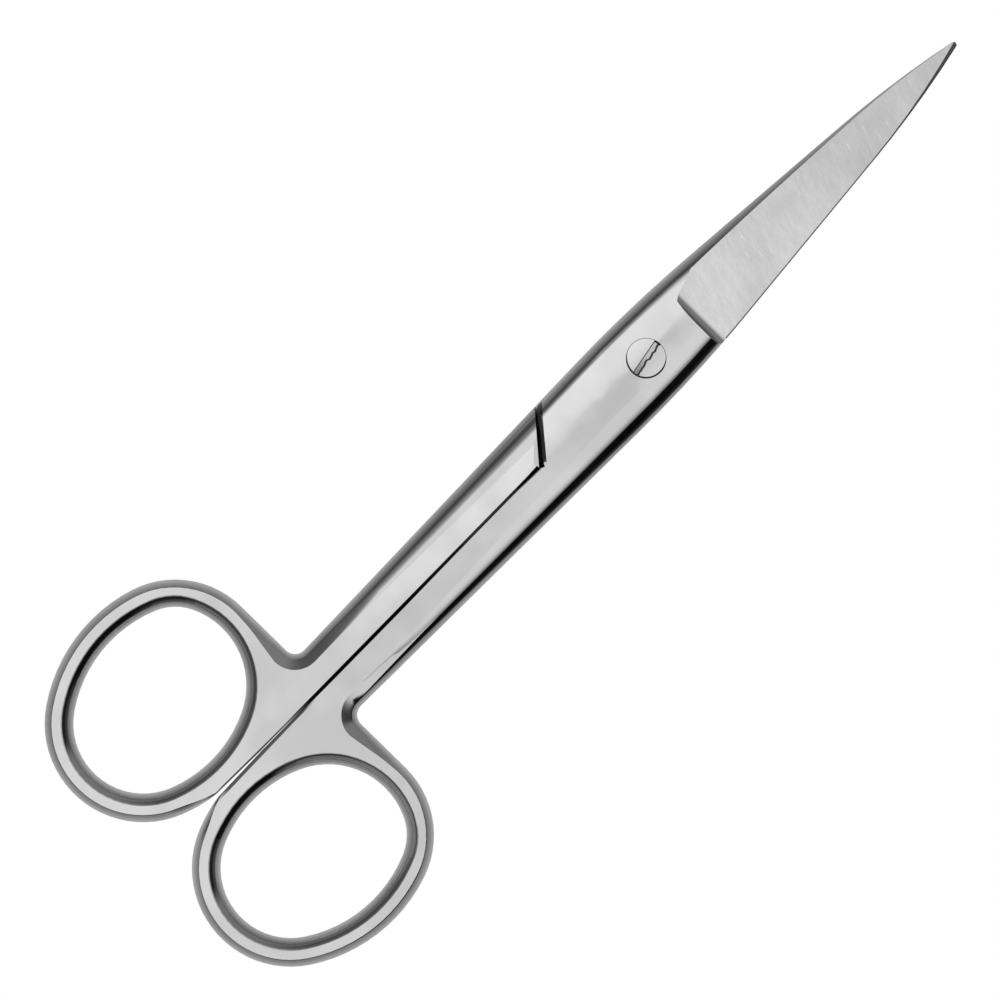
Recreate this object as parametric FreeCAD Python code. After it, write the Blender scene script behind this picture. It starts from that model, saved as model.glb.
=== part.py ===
import FreeCAD, Part
import math
import os

# Fine scissors, 145 mm. Two half-lapped stainless forgings turn on one slotted screw.
# Frame: origin on the pivot axis in the lap plane, +X to the tips, +Z up through the screw head,
# and the finger ring of the rear half on the +Y side. Closed is the modelled position.
# The rear half is the front half turned half a turn about X, apart from its screw hole.

V = FreeCAD.Vector

# Overall plan
TIP_REACH = 55.6            # pivot to blade tip
RING_REACH = 89.4           # pivot to the far end of the finger rings

# Finger ring: an egg-shaped hole drawn with five tangent arcs, and a wall round it.
# Each arc starts where its outward normal stands at the given angle from +X.
RING_WALL = 3.62
HOLE_CORNER_ANGLE = 25.0
HOLE_CORNER_RADIUS = 6.55   # tight bend at the outer front
HOLE_SIDE_ANGLE = 67.0
HOLE_SIDE_RADIUS = 16.95    # flat outer side
HOLE_BACK_ANGLE = 124.0
HOLE_BACK_RADIUS = 8.8      # round far end
HOLE_INNER_ANGLE = 248.0    # inner side, radius from the closing of the loop
HOLE_FRONT_ANGLE = 295.0    # front, radius from the closing of the loop
RIM_BEND_RADIUS = 8.23      # outer front bend of the ring, less its wall
YOKE_FILLET = 1.6           # ring to shank

# Half widths of the closed pair, pivot to side, at places along X
YOKE_HALF = 4.97            # where the shanks leave the rings
BOX_CORNER_X = 2.9          # the box side and the blade side would meet here without rounding
BOX_CORNER_HALF = 6.03
BOX_ROUNDING = 188.0
BLADE_BEND_X = 38.0         # the straight taper ends and the tip curve starts
BLADE_BEND_HALF = 2.99
TIP_HALF = 0.32             # at the tip, before its end is rounded
TIP_END_RADIUS = 0.42

# Section
RING_HALF_THICKNESS = 2.15  # flat faces of the rings, above and below the lap plane
BOX_HALF_THICKNESS = 2.2    # along the middle of the crowned shanks and box
CROWN_RADIUS = 60.0
CROWN_FADE = 14.0           # length of shank over which the crown comes in, from the yoke
YOKE_FADE = 12.0            # length of shank over which the yoke's wide bevel narrows

# Every side bulges out. From the widest line, up and down alike, it follows arcs of the given radius
# until the surface is tilted by the given angle, and ends in a plain slope at the last angle.
BULGE_STEP = 16.0           # no single arc of a bulge turns by more than this
BULGE_RISE = 0.25           # height of the plain slope
HOLE_BULGE = [(2.29, 60.0), (2.29, 45.0), (2.29, 24.0), (1.2, 10.0)]
RIM_BULGE = [(2.85, 60.0), (2.85, 45.0), (2.85, 24.0), (2.85, 10.0)]
YOKE_BULGE = [(2.1, 60.0), (2.1, 45.0), (0.5, 26.0), (38.0, 24.0)]
SHANK_BULGE = [(2.12, 60.0), (2.12, 45.0), (1.8, 24.0), (2.6, 10.0)]
BOX_BULGE = [(1.2, 60.0), (1.6, 45.0), (3.7, 24.0), (2.9, 10.0)]
SPINE_BULGE = [(2.15, 60.0), (2.15, 45.0), (2.0, 24.0), (1.6, 10.0)]
SPLIT_GAP = 0.09            # between the two shanks, closed
SPLIT_CHAMFER = 0.1
SHANK_BOW = 0.11            # each shank's inner side is hollow by this much, between these places
BOW_REAR_X = 69.0           # behind the pivot
BOW_FRONT_X = 32.0
RING_RELIEF_ANGLE = 1.2     # the inner sides of the rings lean apart by this much each
TAIL_ANGLES = [270.0, 266.0, 262.5, 259.0, 255.5, 252.0]    # where the ring's side runs out at the split
TAIL_SHARES = [0.02, 0.1, 0.23, 0.42, 0.66, 0.87]           # its bulge there, of the full one

# Half lap
LAP_GAP = 0.04              # ride clearance between the two inner faces
NOTCH_X = 19.15             # root of the notch, behind the pivot
NOTCH_ANGLE = 48.7          # from the axis
NOTCH_GAP = 0.35
NOTCH_CHAMFER = 0.55        # across, on the side towards the tip
NOTCH_CHAMFER_TILT = 36.0
NOTCH_EASE = 0.3            # across, on the other side, which is only eased
NOTCH_EASE_TILT = 14.0
NOTCH_ROOT_LAND = 0.22      # the chamfers stop this far from the axis
CHAMFER_SAG = 0.08          # the crown's drop at the middle of the chamfers
ROOT_WEDGE_LENGTH = 3.8     # the split widens towards the root of the notch
ROOT_WEDGE_DEPTH = 0.2
ROOT_NICK_LENGTH = 0.8      # relief cut in the upper corner there, behind the root
ROOT_NICK_AHEAD = 0.15      # its deepest point is ahead of the root
ROOT_NICK_DEPTH = 0.42
ROOT_NICK_ANGLE = 59.0      # of the steep side, from the axis

# Blade
STEP_X = 7.5                # wall where the ground blade face starts
STEP_SKEW = -0.5            # degrees off square to the axis
STEP_FILLET = 1.4
STEP_CORNER = [(7.2, 1.5), (7.6, 1.95), (8.0, 2.4), (8.6, 2.75), (10.05, 3.2), (13.0, 4.3)]    # its upper end
BEVEL_SLOPE = 0.2           # rise of the ground face, from cutting edge to spine
EDGE_HEIGHT = 0.15          # where that face would meet the edge, above the lap plane
HONE_START = 0.05           # lower lip of the small honed bevel
HONE_ANGLE = 38.0
HOLLOW_RADIUS = 55.0        # hollow grind of the inner face
HOLLOW_DEPTH = 0.12         # at its heel, running out to nothing at the tip
HOLLOW_START_X = 11.0
HOLLOW_END_X = 52.0

# Pivot screw
HEAD_RADIUS = 2.49
HEAD_SEAT_Z = 1.15
BEARING_RADIUS = 1.8
THREAD_RADIUS = 1.5
SLOT_WIDTH = 0.66
SLOT_DEPTH = 0.55
SLOT_ANGLE = 10.0
HEAD_GAP = 0.06             # round the head
AXIAL_GAP = 0.02            # under the head
RUNNING_GAP = 0.03          # round the bearing shank

# Cutting tools
REACH = 40.0                # half span, well past the part
PAST = 5.0                  # how far blanks and tools run on past the part
OVERCUT = 0.6               # how far the small tools stand off the face they cut
TOOL_TOP = 2 * BOX_HALF_THICKNESS + OVERCUT    # above and below the lap plane
BAND_SHARE = 0.9            # width of a band cut along a side, of the tightest bend's radius


def turn(angle):
    return V(math.cos(math.radians(angle)), math.sin(math.radians(angle)), 0)


def flipped(shape):
    """The same shape after half a turn about X: front half to rear half."""
    out = shape.copy()
    out.rotate(V(0, 0, 0), V(1, 0, 0), 180)
    return out


def mirrored(shape):
    return shape.mirror(V(0, 0, 0), V(0, 1, 0))


def prism(points, z0, z1):
    """An upright prism on a plan polygon of (x, y) points."""
    ring = [V(x, y, z0) for x, y in points]
    return Part.Face(Part.makePolygon(ring + ring[:1])).extrude(V(0, 0, z1 - z0))


# Outline of one side, on +Y. A stretch is a line (start, end) or an arc
# (centre, radius, start angle, end angle). The metal lies on the right of the way it runs.

def hole_arcs():
    """The finger hole's five arcs, as (radius, start angle, end angle), each loop closed."""
    angles = [HOLE_CORNER_ANGLE, HOLE_SIDE_ANGLE, HOLE_BACK_ANGLE, HOLE_INNER_ANGLE, HOLE_FRONT_ANGLE]
    ends = angles[1:] + [angles[0] + 360.0]
    steps = [turn(end) - turn(start) for start, end in zip(angles, ends)]
    known = [HOLE_CORNER_RADIUS, HOLE_SIDE_RADIUS, HOLE_BACK_RADIUS]
    rest = V(0, 0, 0)
    for radius, step in zip(known, steps):
        rest = rest - step * radius
    inner, front = steps[3], steps[4]
    det = inner.x * front.y - inner.y * front.x
    inner_radius = (rest.x * front.y - rest.y * front.x) / det
    front_radius = (inner.x * rest.y - inner.y * rest.x) / det
    return list(zip(known + [inner_radius, front_radius], angles, ends))


def hole_path():
    """The finger hole on +Y as arcs with their centres, placed by the ring's far end and the split."""
    arcs = []
    point = V(0, 0, 0)
    for radius, start, end in hole_arcs():
        centre = point - turn(start) * radius
        arcs.append((centre, radius, start, end))
        point = centre + turn(end) * radius
    back_centre, back_radius = arcs[2][0], arcs[2][1]
    inner_centre, inner_radius = arcs[3][0], arcs[3][1]
    shift = V(
        RING_WALL + back_radius - RING_REACH - back_centre.x,
        RING_WALL + inner_radius - inner_centre.y,
        0,
    )
    return [(centre + shift, radius, start, end) for centre, radius, start, end in arcs]


def side_slopes():
    """Slopes of the shank's side and of the blade's side, in plan."""
    shank_slope = (BOX_CORNER_HALF - YOKE_HALF) / (BOX_CORNER_X - yoke_x())
    blade_slope = (BLADE_BEND_HALF - BOX_CORNER_HALF) / (BLADE_BEND_X - BOX_CORNER_X)
    return shank_slope, blade_slope


def yoke_x():
    """The front of the ring, where its outer side runs square to the shank."""
    centre, radius = hole_path()[4][:2]
    return centre.x + radius + RING_WALL


def rim_bend():
    """The ring's outer front bend: centre, radius, and its angle where it meets the outer side.

    It touches the square front and runs smoothly into the arc round the hole's outer side.
    """
    side_centre, side_radius = hole_path()[1][:2]
    radius = RIM_BEND_RADIUS + RING_WALL
    apart = side_radius - RIM_BEND_RADIUS
    x = yoke_x() - radius
    y = side_centre.y + math.sqrt(apart ** 2 - (x - side_centre.x) ** 2)
    meeting = math.degrees(math.atan2(y - side_centre.y, x - side_centre.x))
    return V(x, y, 0), radius, meeting


def side_path():
    """The whole outer side on +Y, from the split behind the ring, round the ring and on to the tip.

    Gives the stretches, and for each the bulges at its start and at its end.
    """
    holes = hole_path()
    shank_slope, blade_slope = side_slopes()
    shank_angle = math.degrees(math.atan(shank_slope))
    blade_angle = math.degrees(math.atan(blade_slope))
    path = []

    # far end, outer side and front bend of the ring
    back_centre, back_radius, _, back_end = holes[2]
    bend_centre, bend_radius, bend_meeting = rim_bend()
    path.append(("arc", back_centre, back_radius + RING_WALL, back_end, HOLE_BACK_ANGLE))
    side_centre, side_radius = holes[1][:2]
    path.append(("arc", side_centre, side_radius + RING_WALL, HOLE_BACK_ANGLE, bend_meeting))
    path.append(("arc", bend_centre, bend_radius, bend_meeting, 0.0))

    # square front of the ring, down to the fillet into the shank
    front_x = yoke_x()
    fillet_top = YOKE_HALF + YOKE_FILLET / math.cos(math.radians(shank_angle))
    fillet_y = fillet_top + shank_slope * YOKE_FILLET
    fillet = V(front_x + YOKE_FILLET, fillet_y, 0)
    path.append(("line", V(front_x, bend_centre.y, 0), V(front_x, fillet.y, 0)))
    path.append(("arc", fillet, YOKE_FILLET, 180.0, 270.0 + shank_angle))

    # shank, the first of it still with the yoke's bevel, box arc and straight blade side
    corner = V(BOX_CORNER_X, BOX_CORNER_HALF, 0)
    tangent = BOX_ROUNDING * math.tan(math.radians(shank_angle - blade_angle) / 2)
    box_start = corner - turn(shank_angle) * tangent
    box_end = corner + turn(blade_angle) * tangent
    shank_start = fillet + turn(270 + shank_angle) * YOKE_FILLET
    fade_end = shank_start + turn(shank_angle) * YOKE_FADE
    path.append(("line", shank_start, fade_end))
    path.append(("line", fade_end, box_start))
    box_centre = box_start + turn(shank_angle - 90) * BOX_ROUNDING
    path.append(("arc", box_centre, BOX_ROUNDING, 90 + shank_angle, 90 + blade_angle))
    bend = V(BLADE_BEND_X, BLADE_BEND_HALF, 0)
    path.append(("line", box_end, bend))

    # tip arc, run on past the tip
    down = turn(blade_angle - 90)
    chord = V(TIP_REACH - BLADE_BEND_X, TIP_HALF - BLADE_BEND_HALF, 0)
    tip_radius = chord.Length ** 2 / (2 * chord.dot(down))
    tip_centre = bend + down * tip_radius
    sweep_angle = math.degrees((chord.Length + PAST) / tip_radius)
    path.append(("arc", tip_centre, tip_radius, 90 + blade_angle, 90 + blade_angle - sweep_angle))
    bulges = [(RIM_BULGE, RIM_BULGE)] * 3 + [(RIM_BULGE, YOKE_BULGE), (YOKE_BULGE, YOKE_BULGE)]
    bulges += [(YOKE_BULGE, SHANK_BULGE), (SHANK_BULGE, BOX_BULGE), (BOX_BULGE, BOX_BULGE)]
    bulges += [(BOX_BULGE, SPINE_BULGE), (SPINE_BULGE, SPINE_BULGE)]
    return path, bulges


def far_path():
    """The side on +Y once more, for the half whose ring isn't there: along the box and the blade."""
    path = side_path()[0][-4:]
    return path, [(SPINE_BULGE, SPINE_BULGE)] * len(path)


def placed(section, point, angle):
    face = section.copy()
    face.rotate(V(0, 0, 0), V(0, 0, 1), angle)
    face.translate(point)
    return face


def swept(stretch, section):
    """A solid along one stretch. The section is drawn with X outwards and Z up."""
    if stretch[0] == "line":
        start, end = stretch[1:]
        return placed(section, start, heading(start, end) + 90).extrude(end - start)
    centre, radius, first, last = stretch[1:]
    outward = first if last < first else first + 180
    face = placed(section, centre + turn(first) * radius, outward)
    return face.revolve(centre, V(0, 0, 1), last - first)


def heading(start, end):
    along = end - start
    return math.degrees(math.atan2(along.y, along.x))


def bulge_points(bulge, share):
    """Corners of the upper half of a bulge and the points half way between them, as (inset, height)."""
    x, z, steep = 0.0, 0.0, 90.0
    points = [V(0, 0, 0)]
    for radius, gentle in bulge:
        steps = 2 * math.ceil((steep - gentle) / BULGE_STEP)
        for step in range(steps):
            before = math.radians(steep + (gentle - steep) * step / steps)
            after = math.radians(steep + (gentle - steep) * (step + 1) / steps)
            x += radius * (math.sin(after) - math.sin(before))
            z += radius * (math.cos(after) - math.cos(before))
            points.append(V(x * share, 0, z))
        steep = gentle
    return points


def side_section(outward, bulge, share=1.0):
    """What is taken off outside a bulged side. The bulge is drawn in by less where a share is given."""
    upper = bulge_points(bulge, share)
    slope = V(-share * BULGE_RISE / math.tan(math.radians(bulge[-1][1])), 0, BULGE_RISE)
    top = upper[-1] + slope
    lower = [V(point.x, 0, -point.z) for point in upper]
    arcs = [(lower[i + 2], lower[i + 1], lower[i]) for i in range(len(lower) - 3, -1, -2)]
    arcs += [(upper[i], upper[i + 1], upper[i + 2]) for i in range(0, len(upper) - 2, 2)]
    bottom = V(top.x, 0, -top.z)
    edges = [Part.makeLine(bottom, lower[-1])]
    edges += [Part.Arc(*points).toShape() for points in arcs]
    edges.append(Part.makeLine(upper[-1], top))
    rise = V(0, 0, TOOL_TOP)
    corners = [top, top + rise, V(outward, 0, top.z + TOOL_TOP), V(outward, 0, bottom.z - TOOL_TOP)]
    corners += [bottom - rise, bottom]
    edges += [Part.makeLine(a, b) for a, b in zip(corners, corners[1:])]
    return Part.Face(Part.Wire(edges))


def side_tools(path, bulges, outward):
    """What is taken off outside a bulged side, one solid for each stretch. Only a line's bulge changes."""
    solids = []
    for stretch, (first, last) in zip(path, bulges):
        section = side_section(outward, first)
        if first == last:
            solids.append(swept(stretch, section))
        else:
            start, end = stretch[1:]
            angle = heading(start, end) + 90
            near = placed(section, start, angle)
            far = placed(side_section(outward, last), end, angle)
            solids.append(Part.makeLoft([near.OuterWire, far.OuterWire], True, True))
    return solids


def tail_tool(outward):
    """What is taken off where the ring's side comes out of the split behind the shanks.

    It follows the hole's inner side, and its bulge grows from nothing at the split.
    """
    centre, radius, end = hole_path()[3][:3]
    wires = []
    for angle, share in zip(TAIL_ANGLES + [end], TAIL_SHARES + [1.0]):
        section = side_section(outward, RIM_BULGE, share)
        wires.append(placed(section, centre + turn(angle) * (radius + RING_WALL), angle).OuterWire)
    return Part.makeLoft(wires, True, True)


def hone_section():
    """What is taken off above the small honed bevel at the cutting edge."""
    back = BOX_HALF_THICKNESS / math.tan(math.radians(HONE_ANGLE))
    top = HONE_START + BOX_HALF_THICKNESS
    corners = [V(0, 0, HONE_START), V(-back, 0, top), V(OVERCUT, 0, top), V(OVERCUT, 0, HONE_START)]
    return Part.Face(Part.makePolygon(corners + corners[:1]))


def crown_face():
    """Upper surface from the shanks to the blades, crowned across.

    Cubic along X, so that the crown comes in smoothly from the flat rings, and parabolic across.
    """
    start = crown_start()
    full = start + CROWN_FADE
    end = TIP_REACH + OVERCUT
    places = [start, (2 * start + full) / 3, (start + 2 * full) / 3]
    places += [(2 * full + end) / 3, (full + 2 * end) / 3, end]
    crowned = [0.0, 0.0, 1.0, 1.0, 1.0, 1.0]
    side = BOX_CORNER_HALF + YOKE_FILLET
    sag = side ** 2 / (2 * CROWN_RADIUS)
    poles = []
    for x, share in zip(places, crowned):
        middle = RING_HALF_THICKNESS + share * (BOX_HALF_THICKNESS - RING_HALF_THICKNESS)
        edge, centre = middle - share * sag, middle + share * sag
        poles.append([V(x, -side, edge), V(x, 0, centre), V(x, side, edge)])
    surface = Part.BSplineSurface()
    knots = [start, full, end]
    surface.buildFromPolesMultsKnots(poles, [4, 2, 4], [3, 3], knots, [0.0, 1.0], False, False, 3, 2)
    return surface.toShape()


def crown_start():
    return yoke_x() + YOKE_FILLET


def blank():
    """Everything under the upper surface and over a plane well below the lap: flat rings, crowned rest."""
    behind = -RING_REACH - PAST
    corner = V(behind, -REACH, RING_HALF_THICKNESS - TOOL_TOP)
    flat = Part.makeBox(crown_start() - behind, 2 * REACH, TOOL_TOP, corner)
    return flat.fuse(crown_face().extrude(V(0, 0, -TOOL_TOP)))


def notch_point(offset, y):
    """Where a line along the notch, moved off it towards the tip, crosses a given y."""
    slope = math.radians(NOTCH_ANGLE)
    x0 = -NOTCH_X + offset / math.sin(slope)
    return (x0 + (y - SPLIT_GAP / 2) / math.tan(slope), y)


def lapped_body():
    """The front half before its sides are shaped: its shank, and the upper part of the box and blade."""
    split = -SPLIT_GAP / 2
    behind = -RING_REACH - PAST
    ahead = TIP_REACH + PAST
    root = notch_point(NOTCH_GAP, split)
    upper = [(behind, -REACH), (ahead, -REACH), (ahead, REACH)]
    upper += [notch_point(NOTCH_GAP, REACH), root, (behind, split)]
    far = notch_point(0.0, REACH)
    near = notch_point(0.0, -split)
    lower = [(behind, -REACH), (far[0], -far[1]), (near[0], -near[1]), (behind, split)]
    slab = blank()
    upper_part = prism(upper, LAP_GAP / 2, TOOL_TOP).common(slab)
    lower_part = prism(lower, -TOOL_TOP, LAP_GAP / 2).common(flipped(slab))
    return upper_part.fuse(lower_part).removeSplitter()


def shoulder_chamfer(offset, towards_tip, width, tilt):
    """A cutter for the upper edge of a notch wall on the +Y side."""
    along = turn(NOTCH_ANGLE)
    across = turn(NOTCH_ANGLE - 90) * (1 if towards_tip else -1)
    x, y = notch_point(offset, NOTCH_ROOT_LAND)
    lead = NOTCH_GAP
    wall = V(x, y, 0) - across * lead
    rise = math.tan(math.radians(tilt))
    low = BOX_HALF_THICKNESS - CHAMFER_SAG - (width + lead) * rise
    over = lead + width + OVERCUT
    up = V(0, 0, 1)
    high = low + over * rise
    corners = [wall + up * low, wall + across * over + up * high, wall + across * over + up * TOOL_TOP]
    corners += [wall + up * TOOL_TOP, wall + up * low]
    return Part.Face(Part.makePolygon(corners)).extrude(along * REACH)


def root_nick():
    """The small relief cut at the root of the notch, in the front half."""
    x, y = notch_point(NOTCH_GAP, -SPLIT_GAP / 2)
    over = ROOT_NICK_DEPTH + OVERCUT
    points = [
        (x - ROOT_NICK_LENGTH, y + OVERCUT),
        (x - ROOT_NICK_LENGTH, y),
        (x + ROOT_NICK_AHEAD, y - ROOT_NICK_DEPTH),
        (x + ROOT_NICK_AHEAD + over / math.tan(math.radians(ROOT_NICK_ANGLE)), y + OVERCUT),
    ]
    return prism(points, LAP_GAP / 2, TOOL_TOP)


def bevel_tool():
    """The wheel's path over the blade face: a sloped plane, a filleted corner and the step wall.

    It leaves the upper corner standing, where the step runs out along the spine.
    """
    blade_slope = side_slopes()[1]
    edge_line = V(1, -blade_slope, 0).normalize()
    foot = V(STEP_X, -(BLADE_BEND_HALF + blade_slope * (STEP_X - BLADE_BEND_X)), EDGE_HEIGHT)
    skew = turn(90 - STEP_SKEW)
    rise = V(skew.x, skew.y, BEVEL_SLOPE).normalize()
    normal = edge_line.cross(rise).normalize()
    along = edge_line * (TIP_REACH + PAST)
    width = 2 * (BOX_CORNER_HALF + PAST)
    start = foot - rise * PAST
    base = [start, start + along, start + along + rise * width, start + rise * width]
    block = Part.Face(Part.makePolygon(base + base[:1])).extrude(normal * TOOL_TOP)
    corner_middle = start + rise * (width / 2)
    corner = min(block.Edges, key=lambda edge: (edge.CenterOfMass - corner_middle).Length)
    behind, ahead = STEP_CORNER[0], STEP_CORNER[-1]
    left = [(ahead[0], width), (behind[0] - PAST, width), (behind[0] - PAST, behind[1])]
    return block.makeFillet(STEP_FILLET, [corner]).cut(prism(STEP_CORNER + left, 0, TOOL_TOP))


def hollow_tool():
    """A long shallow hollow along the inner face of the blade, deepest at the heel."""
    run = HOLLOW_END_X - HOLLOW_START_X
    level = LAP_GAP / 2
    heel = V(HOLLOW_START_X, 0, level + HOLLOW_DEPTH - HOLLOW_RADIUS)
    toe = V(HOLLOW_END_X, 0, level - HOLLOW_RADIUS)
    along = (toe - heel).normalize()
    length = run + PAST
    drum = Part.makeCylinder(HOLLOW_RADIUS, length, heel, along)
    keep = Part.makeBox(length, REACH, TOOL_TOP, V(HOLLOW_START_X, -REACH / 2, -TOOL_TOP / 2))
    return drum.common(keep)


def tip_trim():
    """What lies past the rounded end of the blade."""
    centre = V(TIP_REACH - TIP_END_RADIUS, 0, -TOOL_TOP)
    outer = Part.makeBox(REACH, 2 * REACH, 2 * TOOL_TOP, centre - V(0, REACH, 0))
    return outer.cut(Part.makeCylinder(TIP_END_RADIUS, 2 * TOOL_TOP, centre))


def edge_path():
    """The cutting edge: the side's last stretches, from the foot of the step wall to past the tip."""
    box_arc, straight, tip_arc = side_path()[0][-3:]
    centre, radius, _, last = box_arc[1:]
    foot = math.degrees(math.acos((STEP_X + STEP_FILLET - centre.x) / radius))
    return [("arc", centre, radius, foot, last), straight, tip_arc]


def split_reliefs():
    """What is taken off the inner side of the -Y half: ring lean, shank bow and notch wedge."""
    split = -SPLIT_GAP / 2
    lean = PAST + RING_REACH - BOW_REAR_X
    fall = lean * math.tan(math.radians(RING_RELIEF_ANGLE))
    behind = -BOW_REAR_X - lean
    ring = [(-BOW_REAR_X, split), (-BOW_REAR_X, 0), (behind, 0), (behind, split - fall)]
    root_x = notch_point(0.0, 0.0)[0]
    heel_x = root_x - ROOT_WEDGE_LENGTH
    wedge = [(heel_x, split), (root_x, split - ROOT_WEDGE_DEPTH), (root_x, 0), (heel_x, 0)]

    rear = V(-BOW_REAR_X, split, -TOOL_TOP)
    front = V(-BOW_FRONT_X, split, -TOOL_TOP)
    deepest = (rear + front) / 2 - V(0, SHANK_BOW, 0)
    bow = Part.Wire([Part.Arc(rear, deepest, front).toShape(), Part.makeLine(front, rear)])
    hollow = Part.Face(bow).extrude(V(0, 0, 2 * TOOL_TOP))
    return [prism(ring, -TOOL_TOP, TOOL_TOP), prism(wedge, -TOOL_TOP, TOOL_TOP), hollow]


def hole_cutter():
    """The finger hole on +Y with its bulged wall: a band along the wall, and the core inside the band."""
    arcs = hole_path()
    section = side_section(BAND_SHARE * HOLE_CORNER_RADIUS, HOLE_BULGE)
    band = [swept(("arc", *arc), section) for arc in arcs]
    core = []
    for centre, radius, start, end in arcs:
        for angle in (start, (start + end) / 2):
            point = centre + turn(angle) * (radius - HOLE_CORNER_RADIUS / 2)
            core.append((point.x, point.y))
    return band + [prism(core, -TOOL_TOP, TOOL_TOP)]


def freed(shape):
    """The solid that holds the box, without the scrap outside the cut."""
    middle = V(0, -BOX_CORNER_HALF / 2, HEAD_SEAT_Z)
    return next(solid for solid in shape.Solids if solid.isInside(middle, 1e-6, False))


def half_blank():
    """One half with its sides, ring, blade and split, but no screw hole."""
    body = lapped_body()
    outward = BAND_SHARE * YOKE_FILLET
    near_side = [tail_tool(outward)] + side_tools(*side_path(), outward)
    honed = [swept(stretch, hone_section()) for stretch in edge_path()]
    tools = [mirrored(solid) for solid in near_side + hole_cutter() + honed]
    tools += side_tools(*far_path(), outward)
    tools += split_reliefs() + [bevel_tool(), hollow_tool(), tip_trim(), root_nick()]
    tools.append(shoulder_chamfer(NOTCH_GAP, True, NOTCH_CHAMFER, NOTCH_CHAMFER_TILT))
    tools.append(flipped(shoulder_chamfer(0.0, False, NOTCH_EASE, NOTCH_EASE_TILT)))
    for tool in tools:
        body = freed(body.cut(tool))
    return split_chamfered(body)


def split_chamfered(body):
    """The half with the long edges of its shank's inner side broken, on both faces."""
    split = -SPLIT_GAP / 2
    near = SPLIT_CHAMFER / 2
    edges = []
    for edge in body.Edges:
        box = edge.BoundBox
        inner = box.YMax > split - near and box.YMin > split - SHANK_BOW - near
        outside = abs(edge.CenterOfMass.z) > RING_HALF_THICKNESS - near
        if inner and outside and box.XMax < -NOTCH_X:
            edges.append(edge)
    return body.makeChamfer(SPLIT_CHAMFER, edges)


def plug(radius, z0, z1):
    return Part.makeCylinder(radius, z1 - z0, V(0, 0, z0))


def front_half():
    body = half_blank()
    body = body.cut(plug(HEAD_RADIUS + HEAD_GAP, HEAD_SEAT_Z - AXIAL_GAP, TOOL_TOP))
    return body.cut(plug(BEARING_RADIUS + RUNNING_GAP, 0, TOOL_TOP))


def rear_half():
    body = half_blank()
    return flipped(body.cut(plug(THREAD_RADIUS, 0, TOOL_TOP)))


def pivot_screw():
    """Head and threaded end are both filed flush with the crowned faces."""
    inner_face = -LAP_GAP / 2
    screw = plug(HEAD_RADIUS, HEAD_SEAT_Z, TOOL_TOP)
    screw = screw.fuse(plug(BEARING_RADIUS, inner_face, HEAD_SEAT_Z))
    screw = screw.fuse(plug(THREAD_RADIUS, -TOOL_TOP, inner_face))
    slot_corner = V(-REACH, -SLOT_WIDTH / 2, BOX_HALF_THICKNESS - SLOT_DEPTH)
    slot = Part.makeBox(2 * REACH, SLOT_WIDTH, TOOL_TOP, slot_corner)
    slot.rotate(V(0, 0, 0), V(0, 0, 1), SLOT_ANGLE)
    upper = screw.common(blank())
    return upper.common(flipped(blank())).cut(slot).removeSplitter()


def write(name, shape):
    solid = shape.Solids[0]
    if len(shape.Solids) != 1 or not solid.isValid():
        raise ValueError(f"{name}: {len(shape.Solids)} solids, valid {shape.isValid()}")
    solid.exportStep(f"parts/{name}.step")
    box = solid.optimalBoundingBox()
    low, high = (box.XMin, box.YMin, box.ZMin), (box.XMax, box.YMax, box.ZMax)
    print(name, round(solid.Volume, 2), "mm3", [round(v, 3) for v in low], [round(v, 3) for v in high])


os.makedirs("parts", exist_ok=True)
write("front_half", front_half())
write("rear_half", rear_half())
write("pivot_screw", pivot_screw())
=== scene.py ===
import math

import bmesh
import bpy
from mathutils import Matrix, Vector

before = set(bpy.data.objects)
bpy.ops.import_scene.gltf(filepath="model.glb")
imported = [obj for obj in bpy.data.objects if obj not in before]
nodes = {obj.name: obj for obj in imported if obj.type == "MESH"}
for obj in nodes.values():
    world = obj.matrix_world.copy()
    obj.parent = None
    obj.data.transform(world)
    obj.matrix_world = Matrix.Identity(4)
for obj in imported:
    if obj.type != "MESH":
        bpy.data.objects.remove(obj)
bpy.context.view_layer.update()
MM = 0.001

# Places on the scissors: X runs along the closed blades from the screw, Z up through the screw
GROUND_START = 8.0 * MM                     # where the ground blade faces begin
STEP_MIDDLE = 8.4 * MM                      # of the rounded step at their heel
GROUND_TILT = math.cos(math.radians(11.33))  # how upright the ground faces are
HONE_TILT = math.cos(math.radians(38.0))    # and the small honed edge
GRAIN_SLANT = math.radians(15.6)            # of the grinding marks, from square to the blades
NOTCH_X = 19.15 * MM                        # root of the slanting notch, behind the screw
NOTCH_ANGLE = math.radians(48.7)
SHOULDER_WIDTH = 0.45 * MM                  # half the width of the painted shade on the notch's shoulder
BOX_SIDE = 5.6 * MM                         # from the axis to just inside the side of the box
SPLIT_SHADE_ENDS = (-66.0 * MM, -60.0 * MM)   # the painted shade along the split fades out between these
SPLIT_SHADE_WIDTH = 0.29 * MM
OUTER_FACE_Z = 1.5 * MM                     # all further out than this is outer surface
RING_SPLIT = (-78.0 * MM, -59.0 * MM)       # where the rings face each other
RINGS_FROM = (-58.0 * MM, -61.0 * MM)       # the flat faces of the rings begin between these
DULL_WALL = (-73.0 * MM, -57.0 * MM)
BENT_YOKE_BEVEL = (-58.5 * MM, -41.0 * MM)
HEAD_RADIUS = 2.49 * MM                     # of the screw
SLOT_ANGLE = math.radians(10.0)
SLOT_WIDTH = 0.66 * MM
SLOT_FLOOR_Z = 1.65 * MM
TABLE_Z = -2.2 * MM

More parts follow.
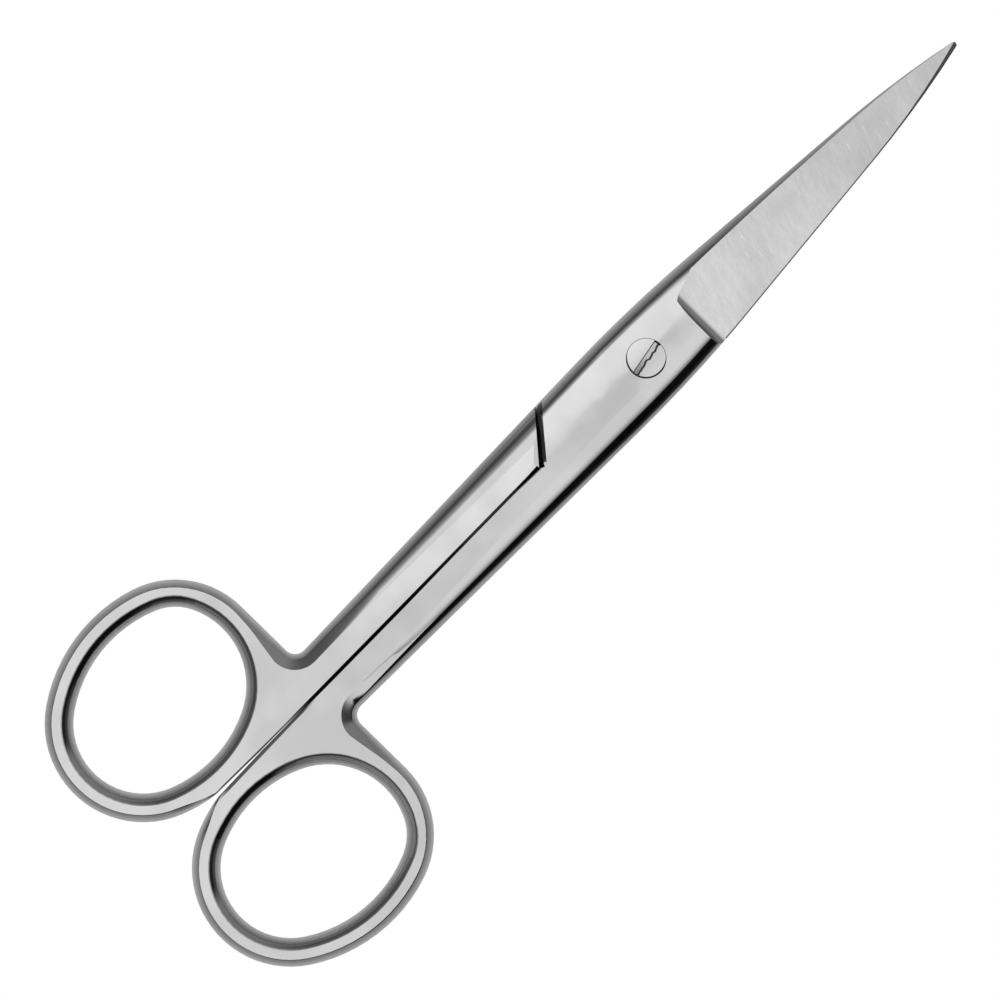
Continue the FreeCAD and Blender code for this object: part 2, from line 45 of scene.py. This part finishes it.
# Finishes
STEEL = 0.76                                # how much light clean steel gives back
DULL_METALLIC = 0.5                         # of the honed edge and the dull wall
POLISHED_ROUGH = 0.1                        # behind the ground faces
BLADE_ROUGH = 0.2                           # along the blades beside them
GROUND_ROUGH = 0.3                          # on the ground faces
SCREW_ROUGH = 0.12


# Shader helpers

def new_tree(owner):
    owner.use_nodes = True
    tree = owner.node_tree
    tree.nodes.clear()
    return tree


def add(tree, kind, **settings):
    node = tree.nodes.new(kind)
    for key, value in settings.items():
        setattr(node, key, value)
    return node


def feed(tree, socket, value):
    """Gives a socket a number, a colour or another node's output."""
    if isinstance(value, bpy.types.NodeSocket):
        tree.links.new(value, socket)
    else:
        socket.default_value = value


def maths(tree, operation, *values, clamp=False):
    node = add(tree, "ShaderNodeMath", operation=operation, use_clamp=clamp)
    for socket, value in zip(node.inputs, values):
        feed(tree, socket, value)
    return node.outputs[0]


def times(tree, first, *others):
    """The product of two or more values."""
    for other in others:
        first = maths(tree, "MULTIPLY", first, other)
    return first


def size_of(tree, value):
    """The value without its sign."""
    return maths(tree, "ABSOLUTE", value)


def span(tree, value, low, high, start=0.0, end=1.0, smooth=True):
    """Carries a value from one range to another and keeps it inside the second."""
    node = add(tree, "ShaderNodeMapRange", interpolation_type="SMOOTHSTEP" if smooth else "LINEAR")
    names = ("Value", "From Min", "From Max", "To Min", "To Max")
    for name, number in zip(names, (value, low, high, start, end)):
        feed(tree, node.inputs[name], number)
    return node.outputs["Result"]


def mixed(tree, factor, first, second):
    """A number between two numbers."""
    node = add(tree, "ShaderNodeMix", data_type="FLOAT")
    for socket, value in zip(node.inputs[0:4], (factor, None, first, second)):
        if value is not None:
            feed(tree, socket, value)
    return node.outputs[0]


def curve(tree, source, stops):
    """Grey levels along a value from 0 to 1, given as (position, level) pairs."""
    node = add(tree, "ShaderNodeValToRGB")
    elements = node.color_ramp.elements
    while len(elements) < len(stops):
        elements.new(0.5)
    for element, (position, level) in zip(elements, stops):
        element.position = position
        element.color = (level, level, level, 1.0)
    tree.links.new(source, node.inputs["Fac"])
    return node.outputs["Color"]


def new_group(name, inputs, outputs):
    """A shader group with its sockets, and its inner input and output nodes."""
    group = bpy.data.node_groups.new(name, "ShaderNodeTree")
    for socket_name, kind, default in inputs:
        socket = group.interface.new_socket(socket_name, in_out="INPUT", socket_type=kind)
        if default is not None:
            socket.default_value = default
    for socket_name, kind in outputs:
        group.interface.new_socket(socket_name, in_out="OUTPUT", socket_type=kind)
    return group, group.nodes.new("NodeGroupInput"), group.nodes.new("NodeGroupOutput")


def use(tree, group, **values):
    node = add(tree, "ShaderNodeGroup", node_tree=group)
    for name, value in values.items():
        feed(tree, node.inputs[name], value)
    return node


# Effect groups of the steels

def painted_gap_shade_group():
    """Painted shade: dark where the surface looks into a narrow gap."""
    group, given, result = new_group(
        "painted_gap_shade", [("Reach", "NodeSocketFloat", 2.0 * MM)], [("Open", "NodeSocketFloat")])
    shade = add(group, "ShaderNodeAmbientOcclusion", samples=12)
    group.links.new(given.outputs["Reach"], shade.inputs["Distance"])
    group.links.new(span(group, shade.outputs["AO"], 0.2, 0.55), result.inputs["Open"])
    return group


def hand_polish_group():
    """Slow waves and fine hairlines left by hand polishing, as a surface direction and a roughness."""
    inputs = [("Waves", "NodeSocketFloat", 1.0), ("Roughness", "NodeSocketFloat", 0.1)]
    outputs = [("Normal", "NodeSocketVector"), ("Roughness", "NodeSocketFloat")]
    group, given, result = new_group("hand_polish", inputs, outputs)
    links = group.links
    place = add(group, "ShaderNodeTexCoord")

    def noise(size, detail, stretch):
        turned = add(group, "ShaderNodeMapping")
        turned.inputs["Scale"].default_value = stretch
        links.new(place.outputs["Object"], turned.inputs["Vector"])
        node = add(group, "ShaderNodeTexNoise")
        node.inputs["Scale"].default_value = 1.0 / size
        node.inputs["Detail"].default_value = detail
        links.new(turned.outputs["Vector"], node.inputs["Vector"])
        return node.outputs["Fac"]

    waves = noise(3.2 * MM, 1.0, (0.35, 1.0, 1.0))
    lines = noise(0.12 * MM, 3.0, (0.04, 1.0, 1.0))
    wave_bump = add(group, "ShaderNodeBump")
    wave_bump.inputs["Distance"].default_value = 0.02 * MM
    links.new(times(group, given.outputs["Waves"], 0.5), wave_bump.inputs["Strength"])
    links.new(waves, wave_bump.inputs["Height"])
    line_bump = add(group, "ShaderNodeBump")
    line_bump.inputs["Distance"].default_value = 0.0006 * MM
    line_bump.inputs["Strength"].default_value = 0.6
    links.new(lines, line_bump.inputs["Height"])
    links.new(wave_bump.outputs["Normal"], line_bump.inputs["Normal"])
    links.new(line_bump.outputs["Normal"], result.inputs["Normal"])
    patches = span(group, noise(7.0 * MM, 3.0, (1.0, 1.0, 1.0)), 0.35, 0.65, 0.8, 1.25)
    links.new(times(group, given.outputs["Roughness"], patches), result.inputs["Roughness"])
    return group


painted_gap_shade = painted_gap_shade_group()
hand_polish = hand_polish_group()


def position(tree, output="Object"):
    """X, Y and Z of the point, in metres, or of another output of Texture Coordinate."""
    place = add(tree, "ShaderNodeTexCoord")
    parts = add(tree, "ShaderNodeSeparateXYZ")
    tree.links.new(place.outputs[output], parts.inputs["Vector"])
    return parts.outputs


def pulse(tree, value, middle, half, soft):
    """1 within half of the middle, falling to 0 over the soft width on both sides."""
    off = size_of(tree, maths(tree, "SUBTRACT", value, middle))
    return span(tree, off, half, half + soft, 1.0, 0.0)


def streaks(tree, across, along, detail=2.0):
    """Noise drawn out almost square to the blades: its grain across the streaks and along them, in metres."""
    place = add(tree, "ShaderNodeTexCoord")
    turned = add(tree, "ShaderNodeMapping", vector_type="TEXTURE")
    turned.inputs["Rotation"].default_value = (0.0, 0.0, -GRAIN_SLANT)
    turned.inputs["Scale"].default_value = (1.0, along / across, 1.0)
    tree.links.new(place.outputs["Object"], turned.inputs["Vector"])
    node = add(tree, "ShaderNodeTexNoise")
    node.inputs["Scale"].default_value = 1.0 / across
    node.inputs["Detail"].default_value = detail
    tree.links.new(turned.outputs["Vector"], node.inputs["Vector"])
    return node.outputs["Fac"]


def steel_base(name):
    material = bpy.data.materials.new(name)
    tree = new_tree(material)
    surface = add(tree, "ShaderNodeBsdfPrincipled")
    surface.inputs["Metallic"].default_value = 1.0
    out = add(tree, "ShaderNodeOutputMaterial")
    tree.links.new(surface.outputs["BSDF"], out.inputs["Surface"])
    return material, tree, surface


def tinted(tree, surface, bright):
    tint = add(tree, "ShaderNodeCombineColor")
    for socket in tint.inputs[0:3]:
        tree.links.new(bright, socket)
    tree.links.new(tint.outputs["Color"], surface.inputs["Base Color"])


def inside(tree, value, low, high, soft):
    """1 between two values, with soft ends."""
    return times(tree, span(tree, value, low, low + soft), span(tree, value, high, high - soft))


def cloud(tree, size, detail):
    """Even noise over the surface, its size in metres."""
    place = add(tree, "ShaderNodeTexCoord")
    node = add(tree, "ShaderNodeTexNoise")
    node.inputs["Scale"].default_value = 1.0 / size
    node.inputs["Detail"].default_value = detail
    tree.links.new(place.outputs["Object"], node.inputs["Vector"])
    return node.outputs["Fac"]


# Places on the forged halves. The halves are one shape turned half a turn about X, so a mask with a side
# takes it from the sign of Z and holds for both.

def rear_side(tree, y, z):
    """Distance off the axis, to the rear half's side above and to the front half's side below."""
    return times(tree, y, maths(tree, "SIGN", z))


def split_shade(tree, x, y, z):
    """1 along the long edge beside the split, which a painted shade darkens."""
    along = span(tree, x, *SPLIT_SHADE_ENDS)
    behind_notch = maths(tree, "LESS_THAN", x, -NOTCH_X - 0.05 * MM)
    beside = inside(tree, rear_side(tree, y, z), 0.02 * MM, SPLIT_SHADE_WIDTH, 0.05 * MM)
    outside = maths(tree, "GREATER_THAN", size_of(tree, z), OUTER_FACE_Z)
    return times(tree, along, behind_notch, beside, outside)


def notch_shade(tree, x, y, z):
    """1 on the sloped shoulder of the notch, which a painted shade darkens."""
    side = rear_side(tree, y, z)
    from_root = maths(tree, "ADD", x, NOTCH_X)
    off = maths(tree, "SUBTRACT", times(tree, from_root, math.sin(NOTCH_ANGLE)),
                times(tree, side, math.cos(NOTCH_ANGLE)))
    beside = pulse(tree, off, SHOULDER_WIDTH, SHOULDER_WIDTH, 0.05 * MM)
    return times(tree, beside, inside(tree, side, 0.05 * MM, BOX_SIDE, 0.1 * MM))


def ring_split_shade(tree, x, y, z):
    """1 on the two edges that face each other between the rings, wider on the front half; a painted shade
    darkens them.
    """
    half_gap = span(tree, x, -64.0 * MM, -76.0 * MM, 0.02 * MM, 0.22 * MM, smooth=False)
    from_gap = maths(tree, "SUBTRACT", size_of(tree, y), half_gap)
    front = maths(tree, "LESS_THAN", rear_side(tree, y, z), 0.0)
    width = mixed(tree, front, 0.16 * MM, 0.38 * MM)
    edge = span(tree, maths(tree, "SUBTRACT", from_gap, width), 0.06 * MM, 0.0)
    return times(tree, edge, inside(tree, x, *RING_SPLIT, 3.0 * MM))


def ring_rim_shade(tree, x, upright):
    """1 along the outer edges of the rings' flat faces, which a painted shade darkens."""
    return times(tree, inside(tree, upright, 0.725, 0.765, 0.01), span(tree, x, *RINGS_FROM))


def dull_wall(tree, x, y, z, normal_x, upright):
    """1 on the front ring's inner wall beside the yoke, where the polish is duller."""
    wall = times(tree, span(tree, normal_x, -0.1, -0.3), inside(tree, upright, 0.45, 0.9, 0.04))
    place = times(tree, inside(tree, x, *DULL_WALL, 4.0 * MM),
                  span(tree, rear_side(tree, y, z), -2.5 * MM, -3.5 * MM))
    return times(tree, wall, place)


def bent_yoke_bevel(tree, x, y, z, upright):
    """1 on the inner part of the yoke's bevel on the front half's side, bent towards flat and given a little
    painted shade.
    """
    inner = inside(tree, upright, 0.903, 0.94, 0.004)
    near = inside(tree, x, *BENT_YOKE_BEVEL, 4.0 * MM)
    front = maths(tree, "LESS_THAN", rear_side(tree, y, z), 0.0)
    return times(tree, inner, front, near)


def forged_steel():
    """Hand-polished steel; the ground blade faces carry a satin grain across the blades."""
    material, tree, surface = steel_base("forged_steel")
    links = tree.links
    x, y, z = position(tree)
    normal_x, normal_y, normal_z = position(tree, output="Normal")
    upright = size_of(tree, normal_z)    # 1 on a flat face, 0 on a wall

    # the ground faces and the rounded step at their heel
    ahead = maths(tree, "GREATER_THAN", x, GROUND_START)
    towards_edge = maths(tree, "LESS_THAN", times(tree, normal_y, z), 0.0)
    face = times(tree, ahead, pulse(tree, upright, GROUND_TILT, 0.004, 0.003), towards_edge)
    near_step = pulse(tree, x, STEP_MIDDLE, 1.0 * MM, 0.2 * MM)
    step = times(tree, near_step, span(tree, normal_x, 0.04, 0.1))
    ground = maths(tree, "MAXIMUM", face, step)

    # surface direction: polishing waves, the grain of grinding, and the yoke's inner bevel bent towards flat
    grain = streaks(tree, 0.18 * MM, 12.0 * MM)
    grain_bump = add(tree, "ShaderNodeBump")
    grain_bump.inputs["Distance"].default_value = 0.004 * MM
    links.new(grain, grain_bump.inputs["Height"])
    links.new(times(tree, ground, 0.3), grain_bump.inputs["Strength"])
    polish = use(tree, hand_polish, Roughness=POLISHED_ROUGH)
    links.new(polish.outputs["Normal"], grain_bump.inputs["Normal"])
    flat = add(tree, "ShaderNodeCombineXYZ")
    links.new(maths(tree, "SIGN", z), flat.inputs["Z"])
    bent_bevel = bent_yoke_bevel(tree, x, y, z, upright)
    bent = add(tree, "ShaderNodeMix", data_type="VECTOR")
    first, second, result = bent.inputs[4], bent.inputs[5], bent.outputs[1]    # the vector ones
    links.new(times(tree, bent_bevel, 0.66), bent.inputs["Factor"])
    links.new(grain_bump.outputs["Normal"], first)
    links.new(flat.outputs["Vector"], second)
    links.new(result, surface.inputs["Normal"])

    # roughness: satin on the ground faces, and duller along the blades than behind them
    rough = mixed(tree, span(tree, x, 11.0 * MM, 14.0 * MM), polish.outputs["Roughness"], BLADE_ROUGH)
    links.new(mixed(tree, ground, rough, GROUND_ROUGH), surface.inputs["Roughness"])

    # the honed edge and the dull wall give back less of the room
    honed = times(tree, pulse(tree, upright, HONE_TILT, 0.02, 0.01), ahead, towards_edge,
                  span(tree, x, 46.0 * MM, 34.0 * MM, 0.45, 1.0))
    dull = maths(tree, "MAXIMUM", honed, dull_wall(tree, x, y, z, normal_x, upright))
    links.new(mixed(tree, dull, 1.0, DULL_METALLIC), surface.inputs["Metallic"])

    # brightness: grinding marks and scratches, then painted shade that darkens the polish
    broad = streaks(tree, 0.8 * MM, 9.0 * MM)
    scratches = span(tree, streaks(tree, 0.2 * MM, 6.0 * MM, 0.5), 0.66, 0.74, 1.0, 1.18)
    # the ground faces' grain, plus a painted shade that darkens them towards the tips
    satin_and_shade = times(tree, span(tree, grain, 0.35, 0.65, 1.11, 1.18), span(tree, broad, 0.3, 0.7, 0.97, 1.03),
                  mixed(tree, span(tree, broad, 0.46, 0.6), 1.0, scratches),
                  span(tree, x, 15.0 * MM, 40.0 * MM, 1.05, 0.94))
    spine = times(tree, maths(tree, "SUBTRACT", 1.0, towards_edge), span(tree, upright, 0.96, 0.92))
    shades = (
        (ground, satin_and_shade),
        # painted shade: the rounded step darker where it faces the tips
        (step, span(tree, normal_x, 0.35, 0.95, 1.0, 0.3)),
        # painted shade on the notch's shoulder
        (notch_shade(tree, x, y, z), 0.25),
        # painted shade along the split, nearly black
        (split_shade(tree, x, y, z), 0.04),
        # painted shade on the edges facing each other between the rings
        (ring_split_shade(tree, x, y, z), 0.15),
        # painted shade along the rings' outer edges
        (ring_rim_shade(tree, x, upright), 0.65),
        # painted shade: the bent bevel of the yoke a little darker
        (bent_bevel, 0.9),
        # painted shade: the spine side's slope darker towards the tips
        (spine, span(tree, x, 11.0 * MM, 25.0 * MM, 1.0, 0.78)),
    )
    # random tone of the polish, into which the marks and painted shades listed above are multiplied
    tone_and_shade = span(tree, cloud(tree, 8.0 * MM, 2.0), 0.35, 0.65, 0.93, 1.03)
    for mask, level in shades:
        tone_and_shade = times(tree, tone_and_shade, mixed(tree, mask, 1.0, level))
    # painted shade where the steel looks into a narrow gap
    gap = use(tree, painted_gap_shade)
    tinted(tree, surface, times(tree, gap.outputs["Open"], STEEL, tone_and_shade))
    return material


def screw_steel():
    """The same steel with painted shade in the slot and round the head, and a burred slot edge."""
    material, tree, surface = steel_base("screw_steel")
    x, y, z = position(tree)
    turned_x, turned_y = math.cos(SLOT_ANGLE), math.sin(SLOT_ANGLE)
    along = maths(tree, "ADD", times(tree, x, turned_x), times(tree, y, turned_y))
    across = maths(tree, "SUBTRACT", times(tree, y, turned_x), times(tree, x, turned_y))
    radius = maths(tree, "SQRT", maths(tree, "ADD", times(tree, x, x), times(tree, y, y)))

    # painted shade round the head: thick towards the rings and below, lost towards the blades
    facing_rings = maths(tree, "ADD", times(tree, x, -0.8), times(tree, y, -0.6))
    facing_rings = maths(tree, "DIVIDE", facing_rings, radius)
    width = span(tree, facing_rings, -0.5, 0.7, 0.02 * MM, 0.17 * MM)
    strength = span(tree, facing_rings, -0.75, 0.3, 0.0, 0.95)
    inner = maths(tree, "SUBTRACT", HEAD_RADIUS, width)
    rim = times(tree, strength, maths(tree, "GREATER_THAN", radius, inner))

    # painted shade in the slot: a thin line along its upper side, a ragged and thicker one along its lower
    # side
    ragged = add(tree, "ShaderNodeTexNoise", noise_dimensions="1D")
    ragged.inputs["Scale"].default_value = 1.0 / (0.9 * MM)
    ragged.inputs["Detail"].default_value = 3.0
    tree.links.new(along, ragged.inputs["W"])
    wander = span(tree, ragged.outputs["Fac"], 0.3, 0.7, -0.14 * MM, 0.16 * MM, smooth=False)
    lower = maths(tree, "ADD", across, wander)
    thin = pulse(tree, across, 0.5 * SLOT_WIDTH, 0.05 * MM, 0.03 * MM)
    thick = pulse(tree, lower, -0.46 * SLOT_WIDTH, 0.11 * MM, 0.06 * MM)
    slot = maths(tree, "MAXIMUM", times(tree, thin, 0.9), times(tree, thick, 0.92))
    # painted shade on the slot's floor, darker towards one end
    floor = maths(tree, "LESS_THAN", z, SLOT_FLOOR_Z + 0.02 * MM)
    slot_floor_shade = span(tree, along, -1.9 * MM, 0.7 * MM, 0.55, 0.1)
    slot = maths(tree, "MAXIMUM", slot, times(tree, floor, slot_floor_shade))

    # a short hook of painted shade where the slot meets the rim, towards the blades
    hook = times(tree, pulse(tree, across, -0.1 * MM, 0.4 * MM, 0.05 * MM),
                 pulse(tree, radius, HEAD_RADIUS - 0.07 * MM, 0.09 * MM, 0.04 * MM),
                 maths(tree, "GREATER_THAN", along, 0.0))
    dark = maths(tree, "MAXIMUM", maths(tree, "MAXIMUM", rim, slot), hook)
    upper_face = maths(tree, "GREATER_THAN", z, 0.0)
    dark = maths(tree, "MULTIPLY", dark, upper_face, clamp=True)

    polish = use(tree, hand_polish, Roughness=SCREW_ROUGH)
    tree.links.new(polish.outputs["Normal"], surface.inputs["Normal"])
    tree.links.new(polish.outputs["Roughness"], surface.inputs["Roughness"])
    # the steel's colour less the painted shade
    unshaded = maths(tree, "SUBTRACT", 1.0, dark)
    tinted(tree, surface, times(tree, unshaded, STEEL))
    return material


forged = forged_steel()
screw = screw_steel()
for name, node in nodes.items():
    node.data.materials.clear()
    node.data.materials.append(screw if name == "pivot_screw" else forged)


# Studio: a glowing white table, a soft box overhead and dark surroundings on the -Y side

def table():
    """It glows: the camera sees it white but for a painted shadow at the split; the steel mirrors it dimmer
    at a slant.
    """
    mesh = bpy.data.meshes.new("table_top")
    sheet = bmesh.new()
    bmesh.ops.create_grid(sheet, x_segments=1, y_segments=1, size=1.5)
    bmesh.ops.translate(sheet, verts=sheet.verts, vec=(0, 0, TABLE_Z))
    sheet.to_mesh(mesh)
    sheet.free()
    piece = bpy.data.objects.new("table_top", mesh)
    bpy.context.collection.objects.link(piece)
    material = bpy.data.materials.new("glowing_table")
    tree = new_tree(material)
    shade = add(tree, "ShaderNodeAmbientOcclusion", samples=16)
    shade.inputs["Distance"].default_value = 3.0 * MM
    x = position(tree)[0]
    under_split = span(tree, x, -72.0 * MM, -60.0 * MM)
    # painted shadow where the table looks up into a narrow gap, ahead of the rings
    shadow = maths(tree, "SUBTRACT", 1.0, span(tree, shade.outputs["AO"], 0.2, 0.32))
    seen = maths(tree, "SUBTRACT", 1.0, times(tree, shadow, under_split))
    slant = add(tree, "ShaderNodeLayerWeight")
    mirrored = curve(tree, slant.outputs["Facing"], [(0.0, 0.5), (0.5, 0.39), (1.0, 0.2)])
    path = add(tree, "ShaderNodeLightPath")
    glow = add(tree, "ShaderNodeEmission")
    level = mixed(tree, path.outputs["Is Camera Ray"], mirrored, 1.0)
    tree.links.new(seen, glow.inputs["Color"])
    tree.links.new(level, glow.inputs["Strength"])
    out = add(tree, "ShaderNodeOutputMaterial")
    tree.links.new(glow.outputs["Emission"], out.inputs["Surface"])
    mesh.materials.append(material)


def studio_world():
    """Light by direction. Each side has its own levels from straight above down to the horizon: behind
    the rings, ahead of the tips, and to the left (+Y) and right (-Y) of the blades."""
    world = bpy.data.worlds.new("studio")
    tree = new_tree(world)
    links = tree.links
    x, y, z = position(tree, output="Generated")
    away = maths(tree, "DIVIDE", maths(tree, "ARCCOSINE", z), math.pi / 2)
    flat = maths(tree, "SQRT", maths(tree, "ADD", times(tree, x, x), times(tree, y, y)))
    flat = maths(tree, "MAXIMUM", flat, 0.0001)
    heading_x = maths(tree, "DIVIDE", x, flat)
    heading_y = maths(tree, "DIVIDE", y, flat)

    def side(*stops):
        """Levels by degrees away from straight above."""
        return curve(tree, away, [(degrees / 90, level) for degrees, level in stops])

    behind = side((0, 0.9), (36, 0.9), (45, 0.3), (52, 0.06), (62, 0.06), (75, 0.14), (90, 0.28))
    ahead = side((0, 0.95), (30, 0.95), (38, 0.45), (45, 0.24), (60, 0.2), (90, 0.24))
    left = side((0, 0.95), (6, 0.9), (9, 0.78), (12, 0.8), (20, 0.86), (24, 0.68), (27.7, 0.5),
                (33, 0.33), (38.5, 0.21), (45, 0.12), (56, 0.075), (62, 0.07), (70, 0.12), (90, 0.24))
    right = side((0, 0.85), (20, 0.82), (30, 0.68), (37, 0.5), (43, 0.2), (48, 0.05), (51, 0.0035),
                 (78, 0.0035), (90, 0.06))
    right_corners = side((0, 0.85), (20, 0.82), (30, 0.68), (37, 0.5), (43, 0.2), (48, 0.06),
                         (52, 0.012), (59, 0.012), (66, 0.022), (74, 0.05), (80, 0.08), (90, 0.16))
    right = mixed(tree, span(tree, size_of(tree, heading_x), 0.25, 0.5), right, right_corners)
    light = mixed(tree, span(tree, heading_x, -0.3, 0.3), behind, ahead)
    light = mixed(tree, span(tree, heading_y, 0.3, 0.98), light, left)
    light = mixed(tree, span(tree, heading_y, -0.3, -0.6), light, right)

    # straight above, the two halves of the soft box run into each other
    middle = span(tree, y, -0.03, 0.07, 0.85, 1.0)
    light = mixed(tree, span(tree, away, 12 / 90, 6 / 90), light, middle)

    # a darker strip crosses the soft box, wider towards the rings
    half = span(tree, x, -0.004, 0.012, 0.056, 0.029)
    from_strip = maths(tree, "DIVIDE", size_of(tree, maths(tree, "ADD", y, 0.008)), half)
    strip = span(tree, from_strip, 0.85, 1.15, 1.0, 0.0)
    ends = times(tree, span(tree, x, -0.045, -0.03), span(tree, x, 0.075, 0.05))
    light = times(tree, light, mixed(tree, times(tree, strip, ends), 1.0, 0.8))
    glow = add(tree, "ShaderNodeBackground")
    links.new(light, glow.inputs["Color"])
    out = add(tree, "ShaderNodeOutputWorld")
    links.new(glow.outputs["Background"], out.inputs["Surface"])
    bpy.context.scene.world = world


# Camera: straight above, turned so that the blades point to the upper right

VIEW_CENTRE = Vector((-25.53 * MM, 0.64 * MM, 0.0))
VIEW_WIDTH = 125.7 * MM
AXIS_ANGLE = math.radians(45.55)    # of the blades, from the picture's right


def camera():
    lens = bpy.data.cameras.new("camera")
    lens.sensor_width = 36.0
    lens.lens = 300.0
    distance = VIEW_WIDTH * lens.lens / lens.sensor_width
    piece = bpy.data.objects.new("camera", lens)
    lens.clip_start = 0.01
    lens.clip_end = 10.0
    piece.location = VIEW_CENTRE + Vector((0, 0, distance))
    piece.rotation_euler = (0, 0, -AXIS_ANGLE)
    bpy.context.collection.objects.link(piece)
    bpy.context.scene.camera = piece


table()
studio_world()
camera()
bpy.context.scene.view_settings.view_transform = "Standard"
bpy.context.scene.view_settings.look = "None"
